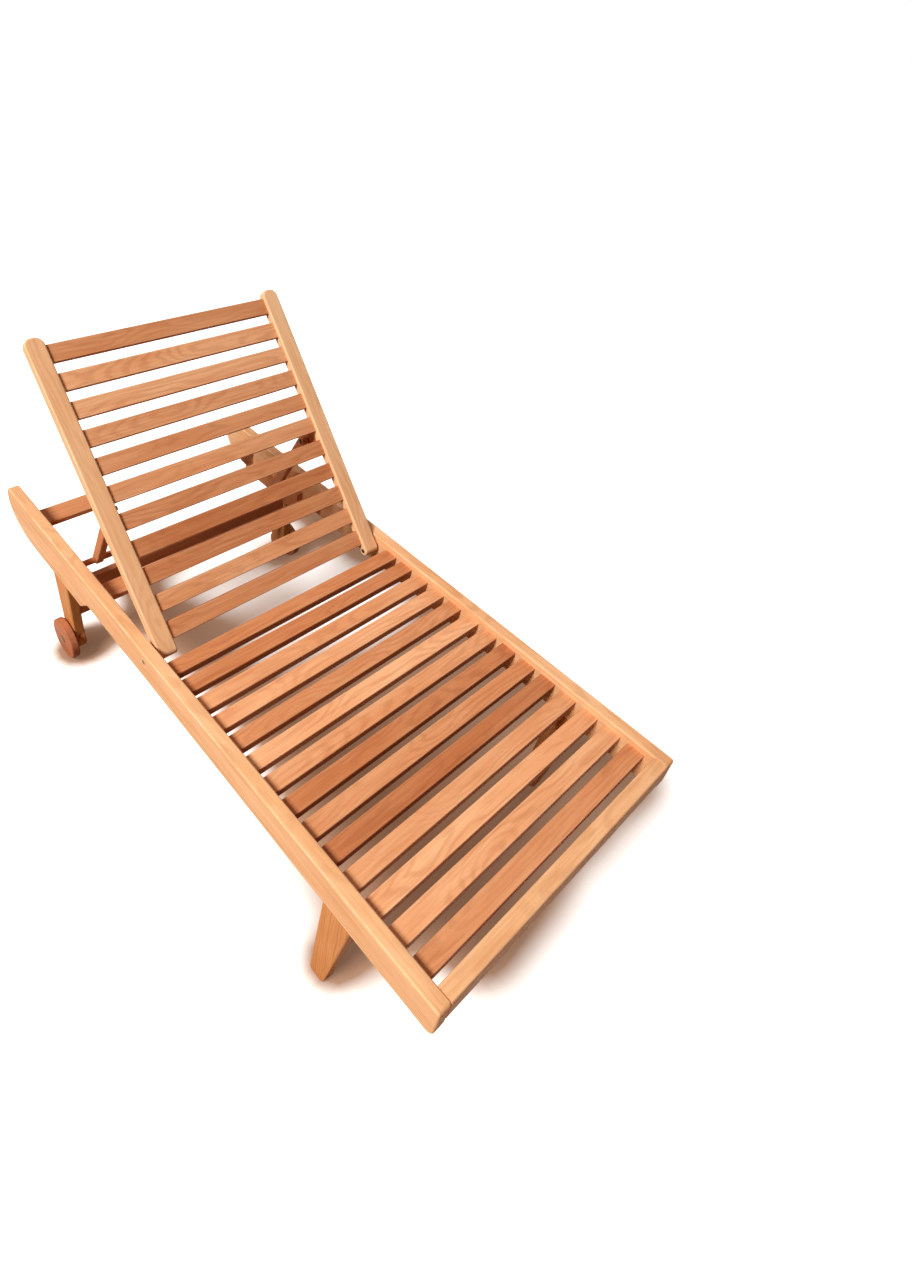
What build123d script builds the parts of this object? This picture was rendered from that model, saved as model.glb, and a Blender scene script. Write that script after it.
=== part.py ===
"""A slatted wooden sun lounger on two legs and two wheels, with a back that is held up by a hinged prop frame.

Millimetres, +Z up. +X points to the foot end and -Y to the near side. The origin is on the floor under the
middle of the side rails. The back is modelled raised, over the notch that it rests in.
"""

import math
import os

from build123d import *

# Overall sizes
length = 2000
width = 870
seat_height = 480

# Side rails
rail_thickness = 36
rail_depth = 108
head_depth = 156
head_tip_setback = 24
head_tip_height = 56
nose_length = 150
shoulder_from_head = 550
shoulder_run = 55
shoulder_round = 14
foot_corner_round = 22
foot_top_round = 8
rail_edge_round = 5

# Tenons, and the play that each has in its mortise
tenon_length = 10
tenon_thickness = 10
tenon_play = 0.2
tenon_width_share = 0.62

# Seat slats
seat_slats = 14
seat_slat_width = 51.5
seat_slat_thickness = 24
seat_slat_gap = 21
seat_slat_drop = 22
slat_edge_round = 3

# Foot end rail
end_rail_thickness = 40
end_rail_depth = 80
end_rail_edge_round = 5

# Back frame: two stiles and their slats
back_angle = 48
hinge_to_seat = 48
hinge_drop = 36
stile_width = 52
stile_thickness = 32
stile_side_play = 5
stile_tip = 890
stile_tip_round = 22
stile_edge_round = 5
stile_end_share = 0.49
back_slats = 11
back_slat_width = 50.5
back_slat_thickness = 18
back_slat_gap = 29
back_slat_start = 22
back_slat_recess = 8

# Hinge of the back
hinge_bolt_diameter = 8
hinge_head_diameter = 13
hinge_head_height = 5
hinge_nut_diameter = 14
hinge_nut_height = 6
hinge_washer_diameter = 24
running_fit = 0.08
side_play = 0.3
recess_play = 1

# Cross boards that the flat back lies on
cross_board_thickness = 18
head_board_width = 80
head_board_from_head = 112
middle_board_width = 66
middle_board_from_hinge = 288
board_play = 0.5
board_edge_round = 3

# Prop frame under the back, and the notched racks that its bar stands on
prop_pivot_up = 410
prop_pivot_below = 70
prop_length = 324
prop_turns_per_back_turn = 2.3
prop_arm_width = 30
prop_arm_thickness = 24
prop_arm_play = 0.6
prop_arm_edge_round = 4
prop_bar_diameter = 20
prop_bar_end_play = 3
prop_bar_end_round = 2
prop_bolt_diameter = 8
prop_head_diameter = 13
prop_head_height = 4
prop_nut_diameter = 14
prop_nut_height = 6
block_length = 92
block_thickness = 26
block_rim = 18
block_edge_round = 4
block_side_share = 0.44
block_tongue_length = 60
rack_thickness = 25
rack_least_depth = 27
rack_play = 2.5
rack_end_margin = 24
rack_edge_round = 2
notches = 5
notches_below_rest = 3
notch_angle_step = 9
notch_depth = 6
notch_play = 0.6
rack_angle_step = 2
rack_steepest_past_rest = 5

# Legs
leg_thickness = 32
leg_tenon_width = 56
leg_tenon_thickness = 14
leg_tenon_height = 50
leg_edge_round = 4
foot_leg_from_foot = 245
foot_leg_top_width = 92
foot_leg_bottom_width = 52
foot_leg_lean = 17
foot_leg_toe_round = 16
head_leg_from_head = 397
head_leg_top_width = 92
head_leg_low_width = 74
boss_radius = 45
boss_blend_round = 18

# Stretchers between the legs
stretcher_thickness = 24
stretcher_inset = 16
stretcher_edge_round = 3
foot_stretcher_depth = 96
foot_stretcher_top_drop = 20
head_stretcher_depth = 136
head_stretcher_top_drop = 12

# Wheels
wheel_diameter = 144
wheel_thickness = 26
wheel_edge_round = 5
axle_diameter = 12
axle_head_diameter = 22
axle_head_height = 6
axle_head_sink = 5
axle_washer_diameter = 30
axle_washer_thickness = 2.4
axle_nut_diameter = 20
axle_nut_height = 8
axle_end_length = 3

# Screws that hold the racks to the side rails
screw_diameter = 5
screw_head_diameter = 10
screw_head_height = 3
screw_length = 34
screw_play = 0.1
rack_screws = 3
screw_rise = 11
screw_spread_share = 0.4

overrun = 1

# Places that follow from the sizes
half_length = length / 2
half_width = width / 2
rail_inner = half_width - rail_thickness
rail_bottom = seat_height - rail_depth
head_rail_bottom = seat_height - head_depth
leg_inner = half_width - leg_thickness
leg_y = half_width - leg_thickness / 2

seat_slat_pitch = seat_slat_width + seat_slat_gap
seat_start = half_length - end_rail_thickness - seat_slats * seat_slat_pitch
seat_slat_z = seat_height - seat_slat_drop - seat_slat_thickness / 2
seat_slat_xs = [seat_start + seat_slat_width / 2 + n * seat_slat_pitch for n in range(seat_slats)]
end_rail_x = half_length - end_rail_thickness / 2
end_rail_z = seat_height - end_rail_depth / 2

hinge_x = seat_start - hinge_to_seat
hinge_z = seat_height - hinge_drop
stile_outer = rail_inner - stile_side_play
stile_inner = stile_outer - stile_width
stile_y = stile_outer - stile_width / 2
stile_rear_z = hinge_z - stile_thickness / 2
stile_front_z = hinge_z + stile_thickness / 2
stile_tip_x = hinge_x - stile_tip
stile_end_x = hinge_x + stile_thickness / 2
back_slat_pitch = back_slat_width + back_slat_gap
back_slat_first_x = hinge_x - back_slat_start - back_slat_width / 2
back_slat_xs = [back_slat_first_x - n * back_slat_pitch for n in range(back_slats)]
back_slat_z = stile_front_z - back_slat_recess - back_slat_thickness / 2

board_z = stile_rear_z - board_play - cross_board_thickness / 2
head_board_x = head_board_from_head + head_board_width / 2 - half_length
middle_board_x = hinge_x - middle_board_from_hinge - middle_board_width / 2

pivot_flat_x = hinge_x - prop_pivot_up
pivot_flat_z = hinge_z - prop_pivot_below
bar_radius = prop_bar_diameter / 2
block_outer = stile_outer - stile_width * block_side_share
block_inner = block_outer - block_thickness
block_y = block_outer - block_thickness / 2
arm_outer = block_inner - prop_arm_play
arm_inner = arm_outer - prop_arm_thickness
rack_inner = rail_inner - rack_thickness

foot_leg_right = half_length - foot_leg_from_foot
foot_leg_left = foot_leg_right - foot_leg_top_width
foot_leg_x = foot_leg_right - foot_leg_top_width / 2
foot_heel_x = foot_leg_left - foot_leg_lean
foot_stretcher_x = foot_leg_right - stretcher_inset - stretcher_thickness / 2
foot_stretcher_z = rail_bottom - foot_stretcher_top_drop - foot_stretcher_depth / 2
head_leg_right = head_leg_from_head - half_length
head_leg_left = head_leg_right - head_leg_top_width
head_leg_x = head_leg_right - head_leg_top_width / 2
head_stretcher_x = head_leg_right - stretcher_inset - stretcher_thickness / 2
head_stretcher_z = head_rail_bottom - head_stretcher_top_drop - head_stretcher_depth / 2

wheel_radius = wheel_diameter / 2
wheel_x = head_leg_x
wheel_inner = half_width + axle_washer_thickness + 2 * side_play
wheel_outer = wheel_inner + wheel_thickness
axle_head_inner = wheel_outer - axle_head_sink + side_play

# Tenon widths and depths of each kind of bar
seat_tenon = (seat_slat_width * tenon_width_share, tenon_thickness)
back_tenon = (back_slat_width * tenon_width_share, tenon_thickness)
end_tenon = (end_rail_thickness / 2, end_rail_depth * tenon_width_share)
head_board_tenon = (head_board_width * tenon_width_share, tenon_thickness)
middle_board_tenon = (middle_board_width * tenon_width_share, tenon_thickness)
foot_stretcher_tenon = (tenon_thickness, foot_stretcher_depth * tenon_width_share)
head_stretcher_tenon = (tenon_thickness, head_stretcher_depth * tenon_width_share)
rail_mortises = [(x, seat_slat_z, *seat_tenon) for x in seat_slat_xs]
rail_mortises.append((end_rail_x, end_rail_z, *end_tenon))
rail_mortises.append((head_board_x, board_z, *head_board_tenon))
rail_mortises.append((middle_board_x, board_z, *middle_board_tenon))


def bar_place(angle):
    """Where the centre of the prop bar is when the back stands at an angle above flat."""
    turn = math.radians(angle)
    fall = math.radians((prop_turns_per_back_turn - 1) * angle)
    pivot_x = hinge_x - prop_pivot_up * math.cos(turn) - prop_pivot_below * math.sin(turn)
    pivot_z = hinge_z + prop_pivot_up * math.sin(turn) - prop_pivot_below * math.cos(turn)
    return pivot_x - prop_length * math.cos(fall), pivot_z - prop_length * math.sin(fall)


def side_plane(y):
    """A plane facing the near side at a distance y from the middle, with X and Z as its axes."""
    return Plane.XZ.offset(y)


def finish(piece, label):
    """Labels a finished part and writes it to its STEP file."""
    piece.label = label
    export_step(piece, f"parts/{label}.step")


def both_sides(near, name):
    """Writes the near piece and its mirror image on the far side."""
    finish(near, f"{name}_near")
    finish(mirror(near, about=Plane.XZ), f"{name}_far")


def one_node(near, label):
    """Writes a fastener and its mirror image on the far side as one node of separate solids."""
    solids = [*near.solids(), *mirror(near, about=Plane.XZ).solids()]
    finish(Compound(children=solids), label)


def raised(piece):
    """Turns a piece of the flat back up about the hinge to the rest angle."""
    return piece.rotate(Axis((hinge_x, 0, hinge_z), (0, 1, 0)), back_angle)


def propped(piece):
    """Turns a piece of the folded prop frame about its own pivots, then up with the back."""
    folded = Axis((pivot_flat_x, 0, pivot_flat_z), (0, 1, 0))
    return raised(piece.rotate(folded, -prop_turns_per_back_turn * back_angle))


def cross_bar(x, z, wide, deep, half_span, rounding, tenon):
    """A bar that runs along Y between two inner faces, with a tenon on each end."""
    with BuildPart() as bar:
        with BuildSketch(side_plane(-half_span)):
            with Locations((x, z)):
                Rectangle(wide, deep)
        extrude(amount=2 * half_span)
        fillet(bar.edges().filter_by(Axis.Y), rounding)
        with BuildSketch(side_plane(-half_span - tenon_length)):
            with Locations((x, z)):
                Rectangle(*tenon)
        extrude(amount=2 * half_span + 2 * tenon_length)
    return bar.part


def round_bar(x, z, start, parts):
    """Coaxial round parts along -Y from a start: each has a diameter and a length."""
    with BuildPart() as bar:
        place = start
        for diameter, run in parts:
            with BuildSketch(side_plane(place)):
                with Locations((x, z)):
                    Circle(diameter / 2)
            extrude(amount=run)
            place += run
    return bar.part


def ring(x, z, start, outside, hole, run):
    """A round ring along -Y from a start, with a running fit on the hole's bolt."""
    with BuildPart() as piece:
        with BuildSketch(side_plane(start)):
            with Locations((x, z)):
                Circle(outside / 2)
                Circle(hole / 2 + running_fit, mode=Mode.SUBTRACT)
        extrude(amount=run)
    return piece.part


os.makedirs("parts", exist_ok=True)

# Places of the notches and of the rack's upper edge, which follows the path of the bar
notch_angles = [back_angle + (n - notches_below_rest) * notch_angle_step for n in range(notches)]
notch_places = [bar_place(angle) for angle in notch_angles if angle <= back_angle + rack_steepest_past_rest]
rack_turn = back_angle + rack_steepest_past_rest - notch_angles[0]
rack_steps = math.ceil(rack_turn / rack_angle_step)
rack_path = [bar_place(notch_angles[0] + rack_turn * n / rack_steps) for n in range(rack_steps + 1)]
rack_left = rack_path[0][0] - rack_end_margin
rack_right = rack_path[-1][0] + rack_end_margin
rack_drop = bar_radius + rack_play
rack_edge = [(x, z - rack_drop) for x, z in rack_path]
first_slope = (rack_edge[1][1] - rack_edge[0][1]) / (rack_edge[1][0] - rack_edge[0][0])
rack_edge.insert(0, (rack_left, rack_edge[0][1] - first_slope * rack_end_margin))
rack_edge.append((rack_right, rack_edge[-1][1]))
rack_bottom = min(z for x, z in rack_edge) - rack_least_depth
rack_middle = (rack_left + rack_right) / 2
screw_spread = (rack_right - rack_left) * screw_spread_share
screw_xs = [rack_middle + screw_spread * (2 * n / (rack_screws - 1) - 1) for n in range(rack_screws)]
screw_z = rack_bottom + screw_rise

# Side rail: a deep plank with a boat nose at the head and a shoulder before the middle
nose_x = nose_length - half_length
tip_x = head_tip_setback - half_length
tip_z = seat_height - head_tip_height
shoulder_x = shoulder_from_head - half_length
shoulder_low_x = shoulder_x - shoulder_run
with BuildPart() as side_rail:
    with BuildSketch(side_plane(rail_inner)) as outline:
        with BuildLine():
            Polyline(
                (tip_x, seat_height),
                (half_length, seat_height),
                (half_length, rail_bottom),
                (shoulder_x, rail_bottom),
                (shoulder_low_x, head_rail_bottom),
                (nose_x, head_rail_bottom),
            )
            EllipticalCenterArc((nose_x, tip_z), nose_length, tip_z - head_rail_bottom, start_angle=180)
            EllipticalCenterArc((tip_x, tip_z), head_tip_setback, head_tip_height, start_angle=90)
        make_face()
        foot_corners = outline.vertices().group_by(Axis.X)[-1].sort_by(Axis.Y)
        fillet(foot_corners[0], foot_corner_round)
        fillet(outline.vertices().sort_by(Axis.Y).group_by(Axis.X)[-1].sort_by(Axis.Y)[-1], foot_top_round)
        shoulder_ends = outline.vertices().filter_by_position(Axis.X, shoulder_low_x, shoulder_x)
        fillet(shoulder_ends, shoulder_round)
    extrude(amount=rail_thickness)
    fillet(side_rail.faces().filter_by(Axis.Y).edges(), rail_edge_round)
    for x, z, wide, deep in rail_mortises:
        with BuildSketch(side_plane(rail_inner)):
            with Locations((x, z)):
                Rectangle(wide + 2 * tenon_play, deep + 2 * tenon_play)
        extrude(amount=tenon_length + tenon_play, mode=Mode.SUBTRACT)
    for x, bottom in ((foot_leg_x, rail_bottom), (head_leg_x, head_rail_bottom)):
        with BuildSketch(Plane.XY.offset(bottom)):
            with Locations((x, -leg_y)):
                Rectangle(leg_tenon_width + 2 * tenon_play, leg_tenon_thickness + 2 * tenon_play)
        extrude(amount=leg_tenon_height + tenon_play, mode=Mode.SUBTRACT)
    with BuildSketch(side_plane(rail_inner)):
        with Locations(*[(x, screw_z) for x in screw_xs]):
            Circle(screw_diameter / 2 + screw_play)
    extrude(amount=screw_length - rack_thickness + screw_play, mode=Mode.SUBTRACT)
    with BuildSketch(side_plane(rail_inner)):
        with Locations((hinge_x, hinge_z)):
            Circle(hinge_bolt_diameter / 2 + running_fit)
    extrude(amount=rail_thickness, mode=Mode.SUBTRACT)
    with BuildSketch(side_plane(half_width - hinge_head_height - side_play)):
        with Locations((hinge_x, hinge_z)):
            Circle(hinge_head_diameter / 2 + recess_play)
    extrude(amount=hinge_head_height + side_play + overrun, mode=Mode.SUBTRACT)
both_sides(side_rail.part, "side_rail")

# Seat slats, tenoned into the side rails
for n, x in enumerate(seat_slat_xs):
    slat = cross_bar(
        x, seat_slat_z, seat_slat_width, seat_slat_thickness, rail_inner, slat_edge_round, seat_tenon
    )
    finish(slat, f"seat_slat_{n + 1:02d}")

# Foot end rail, flush with the tops and the ends of the side rails
foot_end_rail = cross_bar(
    end_rail_x, end_rail_z, end_rail_thickness, end_rail_depth, rail_inner, end_rail_edge_round, end_tenon
)
finish(foot_end_rail, "foot_end_rail")

# Two boards between the rails that the back lies on when it is flat
for x, wide, tenon, label in (
    (head_board_x, head_board_width, head_board_tenon, "head_cross_board"),
    (middle_board_x, middle_board_width, middle_board_tenon, "middle_cross_board"),
):
    board = cross_bar(x, board_z, wide, cross_board_thickness, rail_inner, board_edge_round, tenon)
    finish(board, label)

# Rack: a board on the inside of each rail, with a notch for each place of the prop bar
with BuildPart() as rack:
    with BuildSketch(side_plane(rack_inner)):
        with BuildLine():
            Polyline((rack_left, rack_bottom), *rack_edge, (rack_right, rack_bottom), close=True)
        make_face()
    extrude(amount=rack_thickness)
    low_edges = rack.edges().filter_by(Axis.X).group_by(Axis.Z)[0]
    fillet(low_edges, rack_edge_round)
    with BuildSketch(side_plane(rack_inner)):
        for x, z in notch_places:
            with Locations((x, z - notch_depth)):
                Circle(bar_radius + notch_play)
    extrude(amount=rack_thickness, mode=Mode.SUBTRACT)
    with BuildSketch(side_plane(rack_inner)):
        with Locations(*[(x, screw_z) for x in screw_xs]):
            Circle(screw_diameter / 2 + screw_play)
    extrude(amount=rack_thickness, mode=Mode.SUBTRACT)
    with BuildSketch(side_plane(rack_inner)):
        with Locations(*[(x, screw_z) for x in screw_xs]):
            Circle(screw_head_diameter / 2 + screw_play)
    extrude(amount=screw_head_height + screw_play, mode=Mode.SUBTRACT)
both_sides(rack.part, "rack")

# Foot leg: tapered, leaning a little to the head, tenoned up into the rail
with BuildPart() as foot_leg:
    with BuildSketch(side_plane(leg_inner)) as outline:
        with BuildLine():
            Polyline(
                (foot_leg_left, rail_bottom),
                (foot_leg_right, rail_bottom),
                (foot_heel_x + foot_leg_bottom_width, 0),
                (foot_heel_x, 0),
                close=True,
            )
        make_face()
        fillet(outline.vertices().group_by(Axis.Y)[0], foot_leg_toe_round)
    extrude(amount=leg_thickness)
    leg_sides = foot_leg.faces().filter_by(Axis.Y).edges()
    fillet(leg_sides.group_by(Axis.Z)[:-1], leg_edge_round)
    with BuildSketch(Plane.XY.offset(rail_bottom)):
        with Locations((foot_leg_x, -leg_y)):
            Rectangle(leg_tenon_width, leg_tenon_thickness)
    extrude(amount=leg_tenon_height)
    with BuildSketch(side_plane(leg_inner)):
        with Locations((foot_stretcher_x, foot_stretcher_z)):
            Rectangle(foot_stretcher_tenon[0] + 2 * tenon_play, foot_stretcher_tenon[1] + 2 * tenon_play)
    extrude(amount=tenon_length + tenon_play, mode=Mode.SUBTRACT)
both_sides(foot_leg.part, "foot_leg")

# Head leg: narrows to a round boss about the axle, clear of the floor
with BuildPart() as head_leg:
    with BuildSketch(side_plane(leg_inner)) as outline:
        with BuildLine():
            Polyline(
                (head_leg_left, head_rail_bottom),
                (head_leg_right, head_rail_bottom),
                (wheel_x + head_leg_low_width / 2, wheel_radius),
                (wheel_x - head_leg_low_width / 2, wheel_radius),
                close=True,
            )
        make_face()
        with Locations((wheel_x, wheel_radius)):
            Circle(boss_radius)
        waist = outline.vertices().group_by(Axis.Y)[:-1]
        fillet([v for level in waist for v in level if v.Y > wheel_radius], boss_blend_round)
    extrude(amount=leg_thickness)
    leg_sides = head_leg.faces().filter_by(Axis.Y).edges()
    fillet(leg_sides.group_by(Axis.Z)[:-1], leg_edge_round)
    with BuildSketch(Plane.XY.offset(head_rail_bottom)):
        with Locations((head_leg_x, -leg_y)):
            Rectangle(leg_tenon_width, leg_tenon_thickness)
    extrude(amount=leg_tenon_height)
    with BuildSketch(side_plane(leg_inner)):
        with Locations((head_stretcher_x, head_stretcher_z)):
            Rectangle(head_stretcher_tenon[0] + 2 * tenon_play, head_stretcher_tenon[1] + 2 * tenon_play)
    extrude(amount=tenon_length + tenon_play, mode=Mode.SUBTRACT)
    with BuildSketch(side_plane(leg_inner)):
        with Locations((wheel_x, wheel_radius)):
            Circle(axle_diameter / 2 + running_fit)
    extrude(amount=leg_thickness, mode=Mode.SUBTRACT)
both_sides(head_leg.part, "head_leg")

# Stretchers, tenoned between the legs
for x, z, deep, tenon, label in (
    (foot_stretcher_x, foot_stretcher_z, foot_stretcher_depth, foot_stretcher_tenon, "foot_stretcher"),
    (head_stretcher_x, head_stretcher_z, head_stretcher_depth, head_stretcher_tenon, "head_stretcher"),
):
    stretcher = cross_bar(x, z, stretcher_thickness, deep, leg_inner, stretcher_edge_round, tenon)
    finish(stretcher, label)

# Back stile: rounded about the hinge at the bottom and at the corners of its tip
with BuildPart() as stile:
    with BuildSketch(Plane.XY.offset(stile_rear_z)):
        with Locations(((stile_tip_x + stile_end_x) / 2, -stile_y)):
            Rectangle(stile_end_x - stile_tip_x, stile_width)
    extrude(amount=stile_thickness)
    fillet(stile.edges().filter_by(Axis.Z).group_by(Axis.X)[0], stile_tip_round)
    fillet(stile.edges().filter_by(Axis.Y).group_by(Axis.X)[-1], stile_thickness * stile_end_share)
    stile_sides = stile.faces().filter_by(Axis.Y).edges()
    fillet(stile_sides.filter_by(Axis.Z, reverse=True), stile_edge_round)
    for x in back_slat_xs:
        with BuildSketch(side_plane(stile_inner)):
            with Locations((x, back_slat_z)):
                Rectangle(back_tenon[0] + 2 * tenon_play, back_tenon[1] + 2 * tenon_play)
        extrude(amount=tenon_length + tenon_play, mode=Mode.SUBTRACT)
    with BuildSketch(side_plane(stile_inner)):
        with Locations((hinge_x, hinge_z)):
            Circle(hinge_bolt_diameter / 2 + running_fit)
    extrude(amount=stile_width, mode=Mode.SUBTRACT)
    with BuildSketch(side_plane(stile_inner)):
        with Locations((hinge_x, hinge_z)):
            Circle(hinge_nut_diameter / 2 + recess_play)
    extrude(amount=hinge_nut_height + side_play, mode=Mode.SUBTRACT)
    with BuildSketch(Plane.XY.offset(stile_rear_z)):
        with Locations((pivot_flat_x, -block_y)):
            Rectangle(block_tongue_length + 2 * tenon_play, tenon_thickness + 2 * tenon_play)
    extrude(amount=tenon_length + tenon_play, mode=Mode.SUBTRACT)
both_sides(raised(stile.part), "stile")

# Back slats, tenoned between the stiles
for n, x in enumerate(back_slat_xs):
    slat = cross_bar(
        x, back_slat_z, back_slat_width, back_slat_thickness, stile_inner, slat_edge_round, back_tenon
    )
    finish(raised(slat), f"back_slat_{n + 1:02d}")

# Prop block: hangs under each stile and carries a pivot of the prop frame
with BuildPart() as block:
    with BuildSketch(side_plane(block_inner)):
        with Locations((pivot_flat_x, pivot_flat_z)):
            Circle(block_rim)
        with Locations((pivot_flat_x, stile_rear_z)):
            Rectangle(block_length, block_rim, align=(Align.CENTER, Align.MAX))
        make_hull()
    extrude(amount=block_thickness)
    block_sides = block.faces().filter_by(Axis.Y).edges()
    fillet(block_sides.group_by(Axis.Z)[:-1], block_edge_round)
    with BuildSketch(Plane.XY.offset(stile_rear_z)):
        with Locations((pivot_flat_x, -block_y)):
            Rectangle(block_tongue_length, tenon_thickness)
    extrude(amount=tenon_length)
    with BuildSketch(side_plane(block_inner)):
        with Locations((pivot_flat_x, pivot_flat_z)):
            Circle(prop_bolt_diameter / 2 + running_fit)
    extrude(amount=block_thickness, mode=Mode.SUBTRACT)
    with BuildSketch(side_plane(block_outer - prop_head_height - side_play)):
        with Locations((pivot_flat_x, pivot_flat_z)):
            Circle(prop_head_diameter / 2 + recess_play)
    extrude(amount=prop_head_height + side_play + overrun, mode=Mode.SUBTRACT)
both_sides(raised(block.part), "prop_block")

# Prop frame: two arms and the round bar that stands on the racks
with BuildPart() as arm:
    with BuildSketch(side_plane(arm_inner)):
        with Locations((pivot_flat_x - prop_length / 2, pivot_flat_z)):
            SlotCenterToCenter(prop_length, prop_arm_width)
    extrude(amount=prop_arm_thickness)
    fillet(arm.faces().filter_by(Axis.Y).edges(), prop_arm_edge_round)
    for x, hole in ((pivot_flat_x, prop_bolt_diameter), (pivot_flat_x - prop_length, prop_bar_diameter)):
        with BuildSketch(side_plane(arm_inner)):
            with Locations((x, pivot_flat_z)):
                Circle(hole / 2 + running_fit)
        extrude(amount=prop_arm_thickness, mode=Mode.SUBTRACT)
both_sides(propped(arm.part), "prop_arm")

bar_half = rail_inner - prop_bar_end_play
with BuildPart() as prop_bar:
    with BuildSketch(side_plane(-bar_half)):
        with Locations((pivot_flat_x - prop_length, pivot_flat_z)):
            Circle(bar_radius)
    extrude(amount=2 * bar_half)
    fillet(prop_bar.edges().filter_by(GeomType.CIRCLE), prop_bar_end_round)
finish(propped(prop_bar.part), "prop_bar")

# Prop pivots: a bolt with its head sunk in the block and a nut on the inside of the arm
prop_bolt_start = arm_inner - 2 * side_play - prop_nut_height - side_play
prop_shank = block_outer - prop_head_height - prop_bolt_start
prop_bolt = round_bar(
    pivot_flat_x,
    pivot_flat_z,
    prop_bolt_start,
    ((prop_bolt_diameter, prop_shank), (prop_head_diameter, prop_head_height)),
)
one_node(raised(prop_bolt), "prop_pivot_bolts")
prop_nut = ring(
    pivot_flat_x,
    pivot_flat_z,
    arm_inner - side_play - prop_nut_height,
    prop_nut_diameter,
    prop_bolt_diameter,
    prop_nut_height,
)
one_node(raised(prop_nut), "prop_pivot_nuts")

# Hinge of the back: a bolt sunk in each rail, a washer between rail and stile, a nut sunk in the stile
hinge_shank = half_width - hinge_head_height - stile_inner
hinge_bolt = round_bar(
    hinge_x,
    hinge_z,
    stile_inner,
    ((hinge_bolt_diameter, hinge_shank), (hinge_head_diameter, hinge_head_height)),
)
one_node(hinge_bolt, "hinge_bolts")
hinge_nut = ring(hinge_x, hinge_z, stile_inner, hinge_nut_diameter, hinge_bolt_diameter, hinge_nut_height)
one_node(hinge_nut, "hinge_nuts")
hinge_washer = ring(
    hinge_x,
    hinge_z,
    stile_outer + side_play,
    hinge_washer_diameter,
    hinge_bolt_diameter,
    stile_side_play - 2 * side_play,
)
one_node(hinge_washer, "hinge_washers")

# Wheel: a solid wooden disc outside the leg, its outer face bored for the head of the axle
with BuildPart() as wheel:
    with BuildSketch(side_plane(wheel_inner)):
        with Locations((wheel_x, wheel_radius)):
            Circle(wheel_radius)
    extrude(amount=wheel_thickness)
    fillet(wheel.edges().filter_by(GeomType.CIRCLE), wheel_edge_round)
    with BuildSketch(side_plane(wheel_inner)):
        with Locations((wheel_x, wheel_radius)):
            Circle(axle_diameter / 2 + running_fit)
    extrude(amount=wheel_thickness, mode=Mode.SUBTRACT)
    with BuildSketch(side_plane(wheel_outer - axle_head_sink)):
        with Locations((wheel_x, wheel_radius)):
            Circle(axle_head_diameter / 2 + recess_play)
    extrude(amount=axle_head_sink, mode=Mode.SUBTRACT)
both_sides(wheel.part, "wheel")

# Axles: a bolt through each wheel and leg, a washer between them, a nut on the inside of the leg
axle_start = leg_inner - axle_nut_height - axle_end_length
axle_shank = axle_head_inner - axle_start
axle = round_bar(
    wheel_x,
    wheel_radius,
    axle_start,
    ((axle_diameter, axle_shank), (axle_head_diameter, axle_head_height)),
)
one_node(axle, "axle_bolts")
axle_nut = ring(
    wheel_x, wheel_radius, leg_inner - axle_nut_height, axle_nut_diameter, axle_diameter, axle_nut_height
)
one_node(axle_nut, "axle_nuts")
axle_washer = ring(
    wheel_x,
    wheel_radius,
    half_width + side_play,
    axle_washer_diameter,
    axle_diameter,
    axle_washer_thickness,
)
one_node(axle_washer, "axle_washers")

# Rack screws, their heads sunk in the racks
screw_shank = screw_length - screw_head_height
with BuildPart() as screws:
    with BuildSketch(side_plane(rack_inner)):
        with Locations(*[(x, screw_z) for x in screw_xs]):
            Circle(screw_head_diameter / 2)
    extrude(amount=screw_head_height)
    with BuildSketch(side_plane(rack_inner + screw_head_height)):
        with Locations(*[(x, screw_z) for x in screw_xs]):
            Circle(screw_diameter / 2)
    extrude(amount=screw_shank)
one_node(screws.part, "rack_screws")
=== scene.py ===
"""The looks of a slatted wooden sun lounger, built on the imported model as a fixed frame, in metres."""

import math

import bpy
import numpy as np
from mathutils import Euler, Matrix, Vector
from mathutils.bvhtree import BVHTree

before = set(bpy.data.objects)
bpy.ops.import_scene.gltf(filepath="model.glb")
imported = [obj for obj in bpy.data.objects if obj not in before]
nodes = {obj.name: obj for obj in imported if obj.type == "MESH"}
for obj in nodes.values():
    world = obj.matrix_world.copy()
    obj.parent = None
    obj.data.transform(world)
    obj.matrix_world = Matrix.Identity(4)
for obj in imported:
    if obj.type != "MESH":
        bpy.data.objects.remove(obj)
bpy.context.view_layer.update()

# Surround
# White to the eye, in gloss and through glass. All other rays meet a weak warm light, so that the faces
# turned away from the lamps stay warm and dark.
SURROUND_LIGHT = (1.0, 0.52, 0.30, 1)
SURROUND_STRENGTH = 0.12
room = bpy.context.scene
room.view_settings.view_transform = "Standard"


def seen_rays(tree):
    """1 for a ray that the eye sees by, straight or in gloss or glass: the largest of three flags."""
    path = tree.nodes.new("ShaderNodeLightPath")
    mask = path.outputs["Is Camera Ray"]
    for flag in ("Is Glossy Ray", "Is Transmission Ray"):
        larger = tree.nodes.new("ShaderNodeMath")
        larger.operation = "MAXIMUM"
        tree.links.new(mask, larger.inputs[0])
        tree.links.new(path.outputs[flag], larger.inputs[1])
        mask = larger.outputs[0]
    return mask


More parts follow.
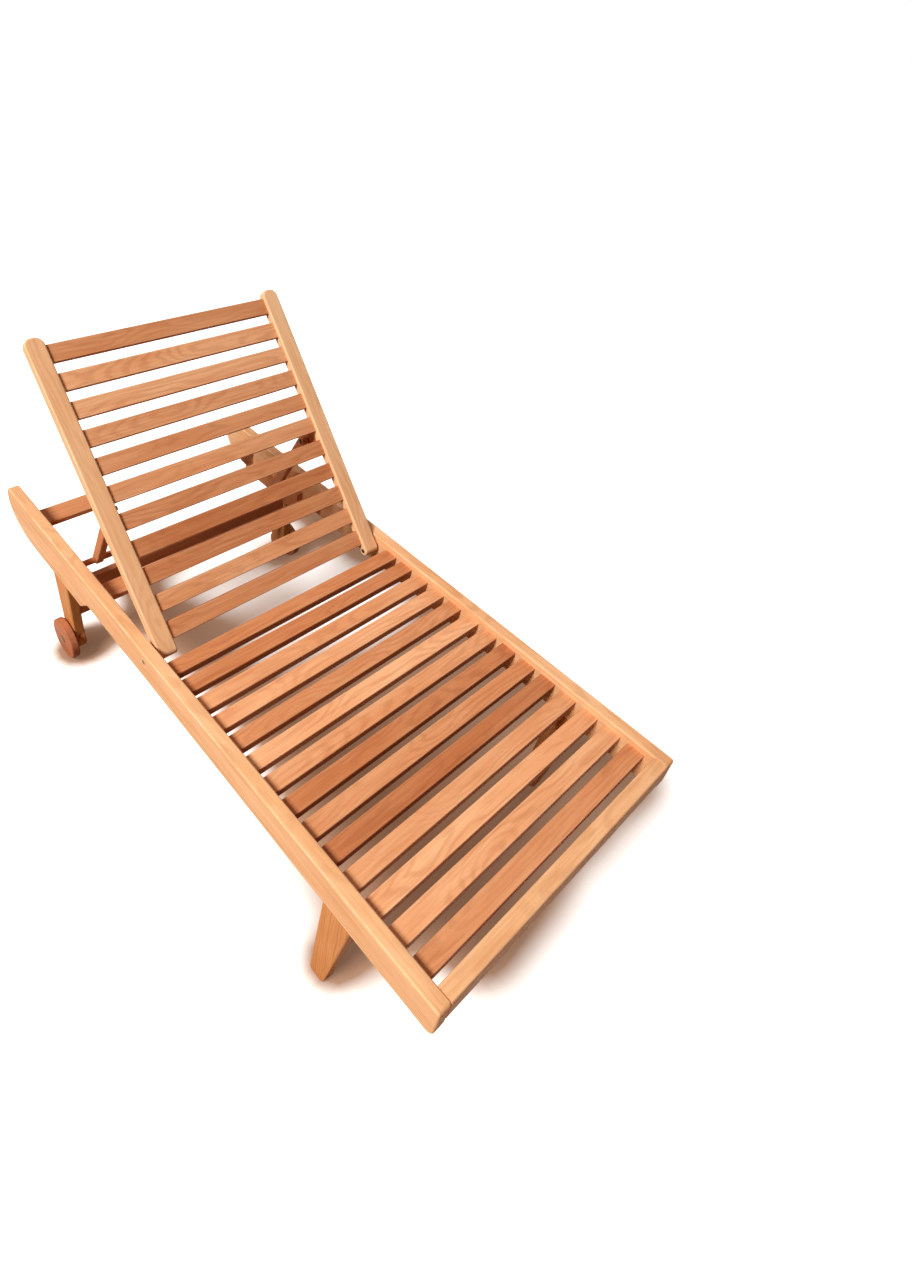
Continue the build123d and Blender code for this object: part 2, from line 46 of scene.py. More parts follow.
white_surround = bpy.data.worlds.new("white_surround")
white_surround.use_nodes = True
room.world = white_surround
sky = white_surround.node_tree
sky.nodes.clear()
sky_out = sky.nodes.new("ShaderNodeOutputWorld")
sky_seen = sky.nodes.new("ShaderNodeBackground")
sky_seen.inputs["Color"].default_value = (1, 1, 1, 1)
sky_light = sky.nodes.new("ShaderNodeBackground")
sky_light.inputs["Color"].default_value = SURROUND_LIGHT
sky_light.inputs["Strength"].default_value = SURROUND_STRENGTH
sky_mix = sky.nodes.new("ShaderNodeMixShader")
sky.links.new(seen_rays(sky), sky_mix.inputs[0])
sky.links.new(sky_light.outputs[0], sky_mix.inputs[1])
sky.links.new(sky_seen.outputs[0], sky_mix.inputs[2])
sky.links.new(sky_mix.outputs[0], sky_out.inputs["Surface"])

# Floor
# A pale floor that goes over into the white surround. Its mesh is fine about the lounger, and carries how
# much light reaches it there, from which its paint takes a soft shade. Rays other than the eye's meet a dim
# floor.
FLOOR_HALF_SIZE = 30.0
SHADE_HALF_LENGTH, SHADE_HALF_WIDTH, SHADE_STEP = 1.9, 1.35, 0.035
# Only what stands within reach of a place shades it: the seat and the frame, and of the back its foot.
SHADE_REACH = 0.62
PLACE_LIFT = 0.001
# Ways towards the sky, and turns from ring to ring and from place to place, in radians
SKY_RINGS, SKY_SPOKES = 6, 16
RING_TURN, GOLDEN_TURN = 1.1, 2.39996
# Ways towards the near lamp, its height over the floor and how far the ways spread, as angles
LAMP_WAYS, LAMP_TURN = 24, 1.3
LAMP_HEIGHT_ANGLE, LAMP_SPREAD = math.radians(54), math.radians(8)
# The share of sky at which the shade is full, and the share at which it ends
LEAST_OPEN, MOST_OPEN = 0.48, 0.80
SMOOTHINGS = 3


def lounger_tree():
    """One search tree of all the faces of the lounger."""
    corners, faces = [], []
    for node in nodes.values():
        first = len(corners)
        corners += [corner.co.to_tuple() for corner in node.data.vertices]
        faces += [[first + n for n in face.vertices] for face in node.data.polygons]
    return BVHTree.FromPolygons(corners, faces)


def free_share(lounger, place, ways):
    """The share of the ways from a place on which nothing of the lounger stands within reach."""
    blocked = sum(lounger.ray_cast(place, way, SHADE_REACH)[0] is not None for way in ways.tolist())
    return 1 - blocked / len(ways)


def light_shares(places):
    """How much of the sky, and how much of the near lamp, each place on the floor sees: two rows of shares.

    Sky: ways on rings and spokes of the half sphere over the place. Ring n has a squared sine of
    (n + 1/2) / rings, which gives straight up its full weight, and each ring is turned a little from the
    last. Lamp: ways in a cone about the lamp's direction, along a spiral whose tilt is the spread times the
    root of (n + 1/2) / ways, a golden turn apart. Both are turned from place to place, so that no pattern
    shows.
    """
    lounger = lounger_tree()
    squares = np.repeat((np.arange(SKY_RINGS) + 0.5) / SKY_RINGS, SKY_SPOKES)
    flat, rise = np.sqrt(squares), np.sqrt(1 - squares)
    spokes = np.tile(np.arange(SKY_SPOKES) * math.tau / SKY_SPOKES, SKY_RINGS)
    spokes = spokes + np.repeat(np.arange(SKY_RINGS) * RING_TURN, SKY_SPOKES)
    tilts = LAMP_SPREAD * np.sqrt((np.arange(LAMP_WAYS) + 0.5) / LAMP_WAYS)
    turns = np.arange(LAMP_WAYS) * GOLDEN_TURN
    shares = np.empty((2, len(places)))
    for n, place in enumerate(places):
        around = spokes + n * GOLDEN_TURN
        sky_ways = np.column_stack((flat * np.cos(around), flat * np.sin(around), rise))
        heights = LAMP_HEIGHT_ANGLE + tilts * np.sin(turns + n * LAMP_TURN)
        sides = tilts * np.cos(turns + n * LAMP_TURN)
        lamp_ways = np.column_stack((np.sin(sides), -np.cos(heights), np.sin(heights)))
        shares[:, n] = free_share(lounger, place, sky_ways), free_share(lounger, place, lamp_ways)
    return shares


def smoothed(grid):
    """Each value becomes half of itself and a quarter of each neighbour, along both sides of the grid."""
    for _ in range(SMOOTHINGS):
        for side in (0, 1):
            grid = 0.5 * grid + 0.25 * (np.roll(grid, 1, side) + np.roll(grid, -1, side))
    return grid


along = np.arange(-SHADE_HALF_LENGTH, SHADE_HALF_LENGTH, SHADE_STEP)
across = np.arange(-SHADE_HALF_WIDTH, SHADE_HALF_WIDTH, SHADE_STEP)
shade_x, shade_y = np.meshgrid(along, across, indexing="ij")
lifts = np.full(shade_x.size, PLACE_LIFT)
shade_places = np.column_stack((shade_x.ravel(), shade_y.ravel(), lifts)).tolist()
sky_share, lamp_share = (smoothed(share.reshape(shade_x.shape)) for share in light_shares(shade_places))
open_share = np.clip((sky_share - LEAST_OPEN) / (MOST_OPEN - LEAST_OPEN), 0, 1)
# The floor's grid has one more row on each side, out at its rim, where all the light arrives.
daylight = np.ones((len(along) + 2, len(across) + 2))
daylight[1:-1, 1:-1] = lamp_share * open_share
rim_x = [-FLOOR_HALF_SIZE, *along, FLOOR_HALF_SIZE]
rim_y = [-FLOOR_HALF_SIZE, *across, FLOOR_HALF_SIZE]
floor_x, floor_y = np.meshgrid(rim_x, rim_y, indexing="ij")
corner = np.arange(floor_x.size).reshape(floor_x.shape)
tiles = (corner[:-1, :-1], corner[1:, :-1], corner[1:, 1:], corner[:-1, 1:])
floor_mesh = bpy.data.meshes.new("floor")
floor_mesh.from_pydata(
    np.column_stack((floor_x.ravel(), floor_y.ravel(), np.zeros(floor_x.size))).tolist(),
    [],
    np.column_stack([c.ravel() for c in tiles]).tolist(),
)
floor_mesh.attributes.new("daylight", "FLOAT", "POINT").data.foreach_set("value", daylight.ravel())
floor = bpy.data.objects.new("floor", floor_mesh)
room.collection.objects.link(floor)

# The paint's tones by the light that arrives, from none to all of it
SHADE_TONES = (
    (0.00, (0.165, 0.082, 0.046)),
    (0.30, (0.270, 0.160, 0.105)),
    (0.52, (0.640, 0.580, 0.540)),
    (0.76, (0.930, 0.918, 0.908)),
    (1.00, (1.000, 1.000, 1.000)),
)
UNSEEN_FLOOR = (0.20, 0.11, 0.06, 1)
# Its own glow grows with the distance from the middle of the lounger, where the lamps fall off.
GLOW_NEAR, GLOW_FAR = 0.84, 1.0
GLOW_FROM, GLOW_TO = 1.5, 5.0
floor_paint = bpy.data.materials.new("floor_paint")
floor_paint.use_nodes = True
paint = floor_paint.node_tree
paint.nodes.clear()
paint_out = paint.nodes.new("ShaderNodeOutputMaterial")
paint_lit = paint.nodes.new("ShaderNodeBsdfDiffuse")
paint_lit.inputs["Color"].default_value = UNSEEN_FLOOR
paint_seen = paint.nodes.new("ShaderNodeBsdfDiffuse")
paint_glow = paint.nodes.new("ShaderNodeEmission")
paint_places = paint.nodes.new("ShaderNodeTexCoord")
paint_far = paint.nodes.new("ShaderNodeVectorMath")
paint_far.operation = "LENGTH"
paint_white = paint.nodes.new("ShaderNodeMapRange")
paint_white.inputs["From Min"].default_value = GLOW_FROM
paint_white.inputs["From Max"].default_value = GLOW_TO
paint_white.inputs["To Min"].default_value = GLOW_NEAR
paint_white.inputs["To Max"].default_value = GLOW_FAR
paint_light = paint.nodes.new("ShaderNodeAttribute")
paint_light.attribute_name = "daylight"
paint_tone = paint.nodes.new("ShaderNodeValToRGB")
tone_stops = paint_tone.color_ramp.elements
for stop, (_, tone) in zip(tone_stops, (SHADE_TONES[0], SHADE_TONES[-1])):
    stop.color = (*tone, 1)
for place, tone in SHADE_TONES[1:-1]:
    tone_stops.new(place).color = (*tone, 1)
paint_add = paint.nodes.new("ShaderNodeAddShader")
paint_mix = paint.nodes.new("ShaderNodeMixShader")
paint.links.new(paint_places.outputs["Object"], paint_far.inputs[0])
paint.links.new(paint_far.outputs["Value"], paint_white.inputs["Value"])
paint.links.new(paint_white.outputs["Result"], paint_glow.inputs["Strength"])
paint.links.new(paint_light.outputs["Fac"], paint_tone.inputs["Fac"])
paint.links.new(paint_tone.outputs["Color"], paint_glow.inputs["Color"])
paint.links.new(paint_tone.outputs["Color"], paint_seen.inputs["Color"])
paint.links.new(paint_seen.outputs[0], paint_add.inputs[0])
paint.links.new(paint_glow.outputs[0], paint_add.inputs[1])
paint.links.new(seen_rays(paint), paint_mix.inputs[0])
paint.links.new(paint_lit.outputs[0], paint_mix.inputs[1])
paint.links.new(paint_add.outputs[0], paint_mix.inputs[2])
paint.links.new(paint_mix.outputs[0], paint_out.inputs["Surface"])
floor_mesh.materials.append(floor_paint)

# Lamps
# Two broad square lamps: the main one over the near side, and a dim one low behind the far side, which
# fills what the first leaves dark.
LAMPS = (("near_lamp", (0.5, -7.0, 7.7), 1250), ("far_lamp", (-3.5, 8.5, 4.5), 260))
LAMP_AIM = (0.0, 0.0, 0.5)
LAMP_SIDE = 3.2
LAMP_COLOUR = (1.0, 0.975, 0.95)
for name, place, energy in LAMPS:
    lamp = bpy.data.lights.new(name, "AREA")
    lamp.shape = "SQUARE"
    lamp.size = LAMP_SIDE
    lamp.energy = energy
    lamp.color = LAMP_COLOUR
    lamp_holder = bpy.data.objects.new(name, lamp)
    lamp_holder.location = place
    lamp_holder.rotation_euler = (Vector(LAMP_AIM) - Vector(place)).to_track_quat("-Z", "Y").to_euler()
    lamp_holder.visible_camera = False
    room.collection.objects.link(lamp_holder)

# Camera
# It looks down on the foot end from the near side, rolled a little, as in the photograph. Angles are in
# degrees, the azimuth from +X towards +Y. The focal length and the centre are in the photograph's pixels.
PHOTO_WIDTH, PHOTO_HEIGHT = 912, 1280
CAMERA_PLACE = (1.1907, -0.9819, 2.0374)
CAMERA_AZIMUTH, CAMERA_HEIGHT_ANGLE, CAMERA_ROLL = -48.76, 37.31, 8.89
FOCAL_PIXELS = 741.3
CENTRE_X, CENTRE_Y = 400.0, 511.8
SENSOR = 36.0
eye = bpy.data.cameras.new("photo_camera")
eye.sensor_width = SENSOR
eye.lens = FOCAL_PIXELS * SENSOR / PHOTO_HEIGHT
eye.shift_x = (PHOTO_WIDTH / 2 - CENTRE_X) / PHOTO_HEIGHT
eye.shift_y = (CENTRE_Y - PHOTO_HEIGHT / 2) / PHOTO_HEIGHT
photo_camera = bpy.data.objects.new("photo_camera", eye)
room.collection.objects.link(photo_camera)
room.camera = photo_camera
azimuth, height_angle = math.radians(CAMERA_AZIMUTH), math.radians(CAMERA_HEIGHT_ANGLE)
roll = math.radians(CAMERA_ROLL)
level = math.cos(height_angle)
towards_eye = Vector((level * math.cos(azimuth), level * math.sin(azimuth), math.sin(height_angle)))
level_right = (-towards_eye).cross(Vector((0, 0, 1))).normalized()
level_up = level_right.cross(-towards_eye)
eye_right = math.cos(roll) * level_right + math.sin(roll) * level_up
eye_up = math.cos(roll) * level_up - math.sin(roll) * level_right
facing = Matrix((eye_right, eye_up, towards_eye)).transposed()
photo_camera.matrix_world = Matrix.Translation(CAMERA_PLACE) @ facing.to_4x4()

# Side rails
# Two deep planks of pale honey-coloured hardwood, oiled, with long quiet grain and paler arrises, which
# show wear and a painted highlight. Each is sawn with a rounded nose at the head; slats, boards and legs
# are tenoned into it.


def worked_out(tree, operation, first, second=None, third=None):
    """A Math node in a tree, fed by sockets or plain numbers; gives its output socket."""
    step = tree.nodes.new("ShaderNodeMath")
    step.operation = operation
    for place, value in enumerate((first, second, third)):
        if value is None:
            continue
        if isinstance(value, (int, float)):
            step.inputs[place].default_value = value
        else:
            tree.links.new(value, step.inputs[place])
    return step.outputs[0]


def plus(tree, first, second):
    """The sum of two values."""
    return worked_out(tree, "ADD", first, second)


def times(tree, first, second):
    """The product of two values."""
    return worked_out(tree, "MULTIPLY", first, second)


def swung(tree, value, swing):
    """A value between 0 and 1 moved to lie about 0: the value times the swing, less half of the swing."""
    return worked_out(tree, "MULTIPLY_ADD", value, swing, -swing / 2)


def steepened(tree, value, low, high):
    """Spreads a value so that low becomes 0 and high becomes 1, kept between them, with soft ends."""
    step = tree.nodes.new("ShaderNodeMapRange")
    step.interpolation_type = "SMOOTHSTEP"
    step.inputs["From Min"].default_value = low
    step.inputs["From Max"].default_value = high
    tree.links.new(value, step.inputs["Value"])
    return step.outputs["Result"]


def fading(tree, distance, whole, gone):
    """1 up to a distance of whole and 0 from gone on, with soft ends."""
    return worked_out(tree, "SUBTRACT", 1.0, steepened(tree, distance, whole, gone))


def noise(tree, vector, along, across, detail=2.0, roughness=0.55):
    """Fractal noise between 0 and 1 on the vector times (along, across, across), drawn out along X."""
    scaled = tree.nodes.new("ShaderNodeVectorMath")
    scaled.operation = "MULTIPLY"
    scaled.inputs[1].default_value = (along, across, across)
    tree.links.new(vector, scaled.inputs[0])
    step = tree.nodes.new("ShaderNodeTexNoise")
    step.inputs["Scale"].default_value = 1.0
    step.inputs["Detail"].default_value = detail
    step.inputs["Roughness"].default_value = roughness
    tree.links.new(scaled.outputs[0], step.inputs["Vector"])
    return step.outputs["Fac"]


def split_places(tree, vector):
    """The three parts of a vector."""
    parts = tree.nodes.new("ShaderNodeSeparateXYZ")
    tree.links.new(vector, parts.inputs[0])
    return parts.outputs


def new_group(name, vectors, numbers, results):
    """An empty node group with named sockets for vectors and numbers going in and masks coming out."""
    group = bpy.data.node_groups.new(name, "ShaderNodeTree")
    for label in vectors:
        group.interface.new_socket(label, in_out="INPUT", socket_type="NodeSocketVector")
    for label in numbers:
        group.interface.new_socket(label, in_out="INPUT", socket_type="NodeSocketFloat")
    for label in results:
        group.interface.new_socket(label, in_out="OUTPUT", socket_type="NodeSocketFloat")
    return group, group.nodes.new("NodeGroupInput").outputs, group.nodes.new("NodeGroupOutput").inputs


# The pith lies below the piece's middle and to one side of it, by up to so much.
PITH_DEPTH, PITH_SIDE = 0.055, 0.022
# How far the rings' centre wanders along the piece, sideways and in depth, and how far each ring ripples
SIDE_SWING, DEPTH_SWING, RIPPLE_SWING = 0.055, 0.110, 0.008
# How far a seed of 1 moves the noise along each axis, and how far it turns the pith to the other side
SEED_STEPS = (3.71, 1.93, 2.37)
SEED_TURN = 12.9
# How strong the rings are in the places where they show least
FAINT_RINGS = 0.2
# How deep each mark lies below the wood's face, as a share of the grain's depth
RING_SINK, STREAK_SINK, PORE_SINK = 0.45, 0.35, 0.5


def make_grain():
    """The grain group: masks of wood whose grain runs along X through the middle of the piece, in metres.

    Rings: a sine of the distance from a pith line beside the piece, which wanders along it, so a face that
    looks at the pith shows long pointed arches and the others show near-parallel lines. Streaks: fine noise
    drawn out along the grain. Tone: wide slow noise. Pores: short fine dashes. Height: 1 less a share of the
    rings, streaks and pores.
    """
    results = ("Rings", "Streaks", "Tone", "Pores", "Height")
    group, given, gives = new_group("grain", ("Vector",), ("Seed", "Ring Width"), results)
    seeded = group.nodes.new("ShaderNodeCombineXYZ")
    for place, step in enumerate(SEED_STEPS):
        group.links.new(times(group, given["Seed"], step), seeded.inputs[place])
    moved = group.nodes.new("ShaderNodeVectorMath")
    moved.operation = "ADD"
    group.links.new(given["Vector"], moved.inputs[0])
    group.links.new(seeded.outputs[0], moved.inputs[1])
    here = moved.outputs[0]

    parts = split_places(group, given["Vector"])
    side_wander = swung(group, noise(group, here, along=2.3, across=5.0), SIDE_SWING)
    depth_wander = swung(group, noise(group, here, along=1.5, across=3.0), DEPTH_SWING)
    ripple = swung(group, noise(group, here, along=9.0, across=60.0), RIPPLE_SWING)
    pith_turn = worked_out(group, "SINE", times(group, given["Seed"], SEED_TURN))
    side = plus(group, plus(group, parts[1], times(group, pith_turn, PITH_SIDE)), side_wander)
    depth = plus(group, plus(group, parts[2], PITH_DEPTH), depth_wander)
    squares = plus(group, times(group, side, side), times(group, depth, depth))
    from_pith = plus(group, worked_out(group, "SQRT", squares), ripple)
    turns = worked_out(group, "DIVIDE", from_pith, given["Ring Width"])
    waves = worked_out(group, "SINE", times(group, turns, math.tau))
    rings = steepened(group, worked_out(group, "MULTIPLY_ADD", waves, 0.5, 0.5), low=0.30, high=1.0)
    patches = steepened(group, noise(group, here, along=2.6, across=16.0), low=0.32, high=0.66)
    patches = worked_out(group, "MULTIPLY_ADD", patches, 1 - FAINT_RINGS, FAINT_RINGS)
    rings = times(group, rings, patches)

    fine = noise(group, here, along=4.0, across=170.0, detail=3.0, roughness=0.62)
    streaks = steepened(group, fine, low=0.38, high=0.72)
    slow = noise(group, here, along=3.2, across=17.0, detail=3.0, roughness=0.6)
    tone = steepened(group, slow, low=0.30, high=0.70)
    dashes = noise(group, here, along=45.0, across=900.0, detail=1.0)
    pores = steepened(group, dashes, low=0.60, high=0.74)
    height = worked_out(group, "MULTIPLY_ADD", rings, -RING_SINK, 1.0)
    height = worked_out(group, "MULTIPLY_ADD", streaks, -STREAK_SINK, height)
    height = worked_out(group, "MULTIPLY_ADD", pores, -PORE_SINK, height)
    for label, socket in zip(results, (rings, streaks, tone, pores, height)):
        group.links.new(socket, gives[label])
    return group


# How far each mark reaches whole, and where it is gone: the wear and painted highlight along the arrises,
# the sawn ends, and the painted shade on the faces that lie across Y
RUBBED_HIGHLIGHT_WHOLE, RUBBED_HIGHLIGHT_GONE = 0.0015, 0.0065
SAWN_WHOLE, SAWN_GONE = 0.0005, 0.004
SIDE_SHADE_WHOLE, SIDE_SHADE_GONE = 0.0003, 0.0025


def make_wear_and_shade():
    """The wear_and_shade group: masks of a board of a half size, its middle at 0 and its length along X, in
    metres.

    On a face, the distance to the long arris is the length of (half width - |y|, half depth - |z|). Rubbed
    Highlight: 1 on the arris, fading over a few millimetres, in patches, for wear and a painted highlight.
    Sawn: the two ends. Shaded Sides: the two faces that lie across Y, the mask of a painted shade.
    """
    group, given, gives = new_group("wear_and_shade", ("Vector", "Half Size"), (), ("Rubbed Highlight", "Sawn", "Shaded Sides"))
    parts, halves = split_places(group, given["Vector"]), split_places(group, given["Half Size"])
    sizes = [worked_out(group, "ABSOLUTE", part) for part in parts]
    inset = [worked_out(group, "SUBTRACT", half, size) for half, size in zip(halves, sizes)]
    squares = plus(group, *[worked_out(group, "POWER", side, 2.0) for side in inset[1:]])
    rubbed_highlight = fading(group, worked_out(group, "SQRT", squares), RUBBED_HIGHLIGHT_WHOLE, RUBBED_HIGHLIGHT_GONE)
    patches = steepened(group, noise(group, given["Vector"], along=14.0, across=60.0), low=0.30, high=0.62)
    group.links.new(times(group, rubbed_highlight, patches), gives["Rubbed Highlight"])
    group.links.new(fading(group, inset[0], SAWN_WHOLE, SAWN_GONE), gives["Sawn"])
    group.links.new(fading(group, inset[1], SIDE_SHADE_WHOLE, SIDE_SHADE_GONE), gives["Shaded Sides"])
    return group


grain, wear_and_shade = make_grain(), make_wear_and_shade()
# Places of the two colours and of their mixture among a Mix node's sockets
MIX_COLOURS, MIX_RESULT = (6, 7), 2


def mixed(tree, mask, first, second):
    """Mixes two colours by a mask; each colour is a socket or three numbers."""
    step = tree.nodes.new("ShaderNodeMix")
    step.data_type = "RGBA"
    tree.links.new(mask, step.inputs[0])
    for place, value in zip(MIX_COLOURS, (first, second)):
        if isinstance(value, tuple):
            step.inputs[place].default_value = (*value, 1)
        else:
            tree.links.new(value, step.inputs[place])
    return step.outputs[MIX_RESULT]


def turned_box(name, turn):
    """The lowest and highest corners of a node's mesh once it is turned by Euler angles."""
    mesh = nodes[name].data
    places = np.empty(len(mesh.vertices) * 3)
    mesh.vertices.foreach_get("co", places)
    turned = places.reshape(-1, 3) @ np.array(Euler(turn).to_matrix()).T
    return turned.min(axis=0), turned.max(axis=0)


def dress(finish, *names):
    """Gives a material to nodes of the frame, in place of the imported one."""
    for name in names:
        mesh = nodes[name].data
        mesh.materials.clear()
        mesh.materials.append(finish)


# How far each mark takes the colour towards its tone
STREAK_MARK, RING_MARK, PORE_MARK, RUBBED_HIGHLIGHT_MARK, SAWN_MARK = 0.42, 0.27, 0.22, 0.42, 0.45
# Oil leaves the wood dull, a little duller still in its streaks and where it is rubbed.
OILED_ROUGHNESS, STREAK_ROUGHNESS, RUBBED_ROUGHNESS = 0.60, 0.12, 0.10
OILED_SHEEN = 0.10
GRAIN_STRENGTH, GRAIN_DEPTH = 0.30, 0.0003


def wood(name, turn, tones, seed, ring_width=0.006, painted_side_shade=0.0):
    """Gives a node its own oiled wood, whose grain runs along X once its places are turned by turn.

    tones are the pale, middle, dark, line and worn_and_highlit colours. Colour: middle to pale by the
    grain's tone, then darker by its streaks, rings and pores, then towards worn_and_highlit along the
    arrises, for wear and a painted highlight, and towards dark where it is sawn. painted_side_shade is how
    far the two faces that lie across Y go towards the line colour, as a painted shade.
    """
    pale, middle, dark, line, worn_and_highlit = tones
    low, high = turned_box(name, turn)
    finish = bpy.data.materials.new(name + "_wood")
    finish.use_nodes = True
    tree = finish.node_tree
    shader = tree.nodes["Principled BSDF"]
    places = tree.nodes.new("ShaderNodeTexCoord")
    turned = tree.nodes.new("ShaderNodeMapping")
    turned.inputs["Rotation"].default_value = turn
    turned.inputs["Location"].default_value = -(low + high) / 2
    tree.links.new(places.outputs["Object"], turned.inputs["Vector"])
    figure, marks = (tree.nodes.new("ShaderNodeGroup") for _ in range(2))
    figure.node_tree, marks.node_tree = grain, wear_and_shade
    figure.inputs["Ring Width"].default_value = ring_width
    figure.inputs["Seed"].default_value = seed
    marks.inputs["Half Size"].default_value = (high - low) / 2
    for group in (figure, marks):
        tree.links.new(turned.outputs[0], group.inputs["Vector"])
    figure, marks = figure.outputs, marks.outputs

    body = mixed(tree, figure["Tone"], middle, pale)
    body = mixed(tree, times(tree, figure["Streaks"], STREAK_MARK), body, dark)
    body = mixed(tree, times(tree, figure["Rings"], RING_MARK), body, line)
    body = mixed(tree, times(tree, figure["Pores"], PORE_MARK), body, line)
    # Paler along the arrises: wear in patches, and a painted highlight of the rounded edges.
    body = mixed(tree, times(tree, marks["Rubbed Highlight"], RUBBED_HIGHLIGHT_MARK), body, worn_and_highlit)
    # Painted shade: the two faces that lie across Y go towards the line colour.
    if painted_side_shade:
        body = mixed(tree, times(tree, marks["Shaded Sides"], painted_side_shade), body, line)
    body = mixed(tree, times(tree, marks["Sawn"], SAWN_MARK), body, dark)
    tree.links.new(body, shader.inputs["Base Color"])
    rough = worked_out(tree, "MULTIPLY_ADD", figure["Streaks"], STREAK_ROUGHNESS, OILED_ROUGHNESS)
    rough = worked_out(tree, "MULTIPLY_ADD", marks["Rubbed Highlight"], RUBBED_ROUGHNESS, rough)
    tree.links.new(rough, shader.inputs["Roughness"])
    shader.inputs["Specular IOR Level"].default_value = OILED_SHEEN
    bump = tree.nodes.new("ShaderNodeBump")
    bump.inputs["Strength"].default_value = GRAIN_STRENGTH
    bump.inputs["Distance"].default_value = GRAIN_DEPTH
    tree.links.new(figure["Height"], bump.inputs["Height"])
    tree.links.new(bump.outputs[0], shader.inputs["Normal"])
    dress(finish, name)


# Turns that bring a piece's grain onto X
ALONG_X = (0.0, 0.0, 0.0)
HONEY = (
    (0.94, 0.56, 0.300),
    (0.86, 0.455, 0.215),
    (0.68, 0.30, 0.110),
    (0.46, 0.17, 0.055),
    (0.97, 0.68, 0.44),
)
RAIL_RINGS = 0.008
wood("side_rail_near", ALONG_X, HONEY, seed=1.3, ring_width=RAIL_RINGS)
wood("side_rail_far", ALONG_X, HONEY, seed=4.1, ring_width=RAIL_RINGS)

# Foot end rail
# A bar of the same wood as the side rails, sawn square and tenoned between their ends. It closes the frame
# at the foot.


def shaded(tones, share):
    """Tones darkened to a share of their red; green and blue fall faster, so darker wood is redder.

    Green falls by the share to the power of 1.7, and blue by the share to the power of 2.2.
    """
    return tuple((r * share, g * share**1.7, b * share**2.2) for r, g, b in tones)


ALONG_Y = (0.0, 0.0, math.radians(-90))
PALE_RINGS = 0.007
wood("foot_end_rail", ALONG_Y, shaded(HONEY, 0.96), seed=2.2, ring_width=PALE_RINGS)

# Legs
# Two tapered legs at the foot, and two at the head that end in a round boss about the axle bolt. They are
# sawn from amber hardwood with the grain running down, and tenoned up into the rails.
ALONG_Z = (0.0, math.radians(90), 0.0)
AMBER = (
    (0.72, 0.31, 0.100),
    (0.64, 0.25, 0.070),
    (0.46, 0.155, 0.040),
    (0.31, 0.09, 0.025),
    (0.80, 0.42, 0.18),
)
for n, leg in enumerate(("foot_leg_near", "foot_leg_far", "head_leg_near", "head_leg_far")):
    wood(leg, ALONG_Z, AMBER, seed=5.7 + 1.9 * n)

# Seat slats
# Fourteen thin boards of redder wood with rounded arrises, tenoned into the rails below their tops. Some
# are darker and redder than others, and all have a painted shade on their edges, the faces between slats.
RUSSET = (
    (0.96, 0.535, 0.285),
    (0.87, 0.415, 0.195),
    (0.66, 0.25, 0.095),
    (0.44, 0.14, 0.048),
    (0.96, 0.63, 0.40),
)
# How far the slats' edge faces go towards the line colour: a painted shade for the shadow between slats
PAINTED_SIDE_SHADE = 0.6
SEAT_SHARES = (0.71, 0.70, 0.87, 0.95, 0.77, 1.0, 0.87, 0.66, 0.80, 0.60, 0.88, 0.98, 0.94, 0.78)
for n, share in enumerate(SEAT_SHARES):
    slat = f"seat_slat_{n + 1:02d}"
    wood(slat, ALONG_Y, shaded(RUSSET, share), seed=0.4 + 1.27 * n, painted_side_shade=PAINTED_SIDE_SHADE)

# Cross boards, racks and stretchers
# Boards tenoned between the rails and between the legs, in the same wood as the slats, darkened as a
# painted shade for where they stand under the seat. The racks that hold the prop are screwed to the rails'
# inner faces.
# The slats' wood darkened: a painted shade for the pieces under the seat and the back
SHADED_INNER = shaded(RUSSET, 0.72)
for n, board in enumerate(("head_cross_board", "middle_cross_board", "foot_stretcher", "head_stretcher")):
    wood(board, ALONG_Y, SHADED_INNER, seed=3.3 + 2.3 * n)
for n, rack in enumerate(("rack_near", "rack_far")):
    wood(rack, ALONG_X, SHADED_INNER, seed=6.6 + 1.7 * n)

# Back
# Two stiles of the pale wood with rounded tips, eleven slats tenoned between them, and under each stile a
# block that carries a pivot of the prop. The grain runs up the stiles, which lean back by the rest angle.
# The stiles' wood is paler than the rails', a painted light for their leaning faces, which meet the lamp
# less squarely.
BACK_ANGLE = 48.0
UP_THE_BACK = (0.0, math.radians(180 - BACK_ANGLE), 0.0)
# The rails' wood made paler for the stiles: a painted light
LIT_HONEY = (
    (0.98, 0.635, 0.37),
    (0.94, 0.55, 0.29),
    (0.80, 0.40, 0.17),
    (0.58, 0.25, 0.09),
    (0.99, 0.74, 0.50),
)
wood("stile_near", UP_THE_BACK, shaded(LIT_HONEY, 0.97), seed=9.1, ring_width=PALE_RINGS)
wood("stile_far", UP_THE_BACK, LIT_HONEY, seed=7.7, ring_width=PALE_RINGS)
for n, block in enumerate(("prop_block_near", "prop_block_far")):
    wood(block, UP_THE_BACK, SHADED_INNER, seed=8.2 + 1.3 * n)
# Laid flat first and then along the slats, so that a slat's own width and thickness lie on Y and Z
laid_flat = Matrix.Rotation(math.radians(-BACK_ANGLE), 3, "Y")
ACROSS_THE_BACK = tuple((Matrix.Rotation(ALONG_Y[2], 3, "Z") @ laid_flat).to_euler())
BACK_SHARES = (0.83, 0.93, 0.74, 0.70, 0.79, 0.92, 0.85, 0.87, 0.99, 0.99, 0.79)
for n, share in enumerate(BACK_SHARES):
    slat = f"back_slat_{n + 1:02d}"
    wood(slat, ACROSS_THE_BACK, shaded(RUSSET, share), seed=1.1 + 1.83 * n, painted_side_shade=PAINTED_SIDE_SHADE)

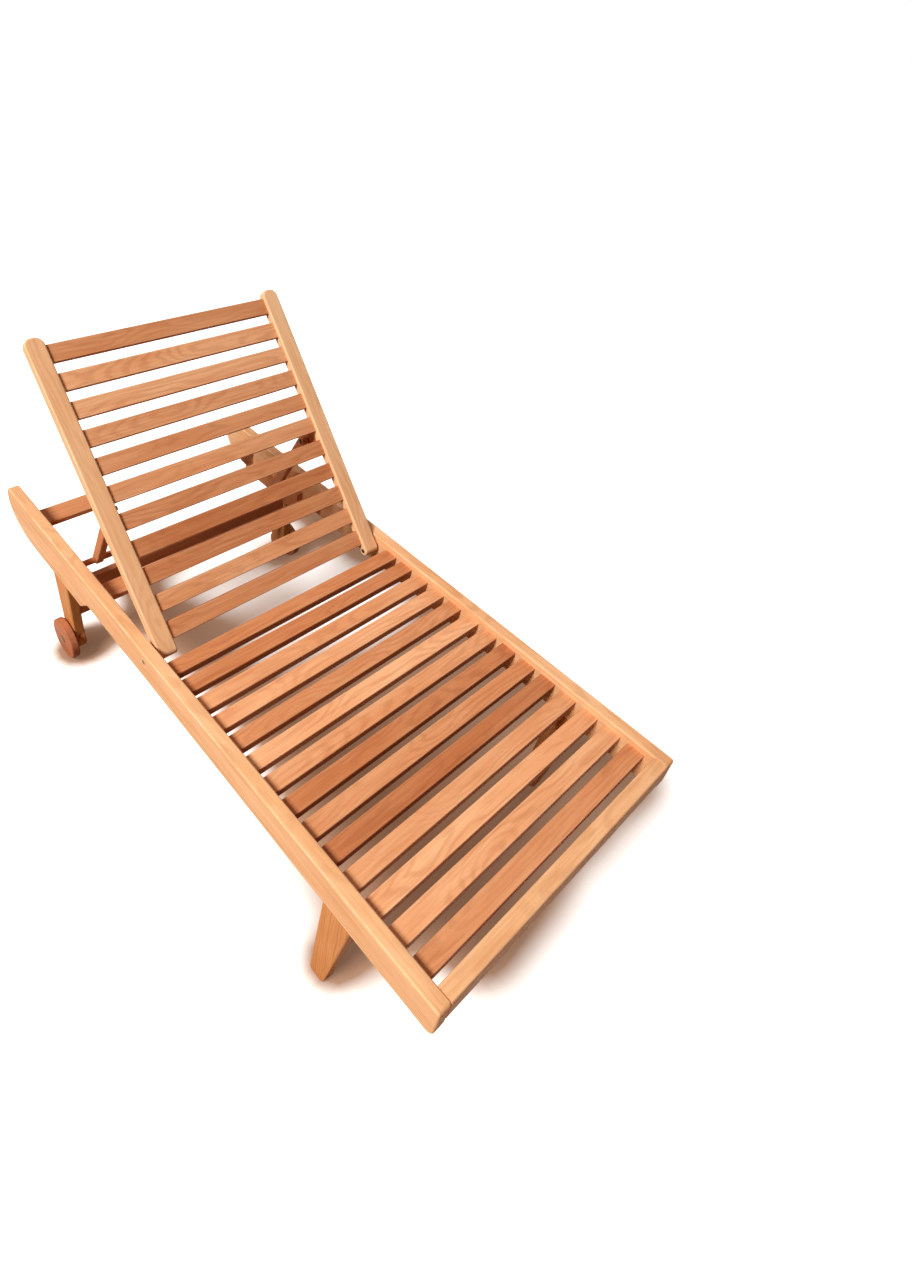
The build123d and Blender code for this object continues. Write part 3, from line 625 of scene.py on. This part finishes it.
# Prop frame
# Two arms of the inner wood, bolted to the blocks under the back, and the round bar between them. On the
# blocks they turn 2.3 times as far as the back does, the other way, so they lean 1.3 times as far as it.
ARM_LEAN = 1.3 * BACK_ANGLE
DOWN_THE_ARM = (0.0, math.radians(180 + ARM_LEAN), 0.0)
for n, arm in enumerate(("prop_arm_near", "prop_arm_far")):
    wood(arm, DOWN_THE_ARM, SHADED_INNER, seed=2.9 + 1.1 * n)
wood("prop_bar", ALONG_Y, SHADED_INNER, seed=5.2)

# Wheels
# Solid discs sawn from a board of dark reddish wood, with the grain across their faces and a rounded rim.
# Each turns on a bolt through a head leg.
DARK_RED = (
    (0.56, 0.205, 0.095),
    (0.46, 0.150, 0.062),
    (0.30, 0.085, 0.033),
    (0.19, 0.05, 0.02),
    (0.66, 0.28, 0.14),
)
for n, wheel in enumerate(("wheel_near", "wheel_far")):
    wood(wheel, ALONG_X, DARK_RED, seed=3.8 + 2.3 * n)

# Fittings
# Bolts, nuts, washers and screws of brass that has dulled outdoors, darker and rougher in blotches. They
# hold the back, the prop, the wheels and the racks.
BRASS, BLOTCHED_BRASS = (0.13, 0.075, 0.035), (0.055, 0.03, 0.015)
BRASS_ROUGHNESS, BLOTCH_ROUGHNESS = 0.40, 0.25
BLOTCH_FINENESS = 160.0
dulled_brass = bpy.data.materials.new("dulled_brass")
dulled_brass.use_nodes = True
brass = dulled_brass.node_tree
brass_shader = brass.nodes["Principled BSDF"]
brass_shader.inputs["Metallic"].default_value = 1.0
brass_places = brass.nodes.new("ShaderNodeTexCoord").outputs["Object"]
spots = noise(brass, brass_places, BLOTCH_FINENESS, BLOTCH_FINENESS, detail=3.0)
blotches = steepened(brass, spots, low=0.35, high=0.7)
brass.links.new(mixed(brass, blotches, BRASS, BLOTCHED_BRASS), brass_shader.inputs["Base Color"])
brass_rough = worked_out(brass, "MULTIPLY_ADD", blotches, BLOTCH_ROUGHNESS, BRASS_ROUGHNESS)
brass.links.new(brass_rough, brass_shader.inputs["Roughness"])
FITTINGS = ("hinge_", "axle_", "prop_pivot", "rack_screws")
dress(dulled_brass, *[name for name in nodes if name.startswith(FITTINGS)])
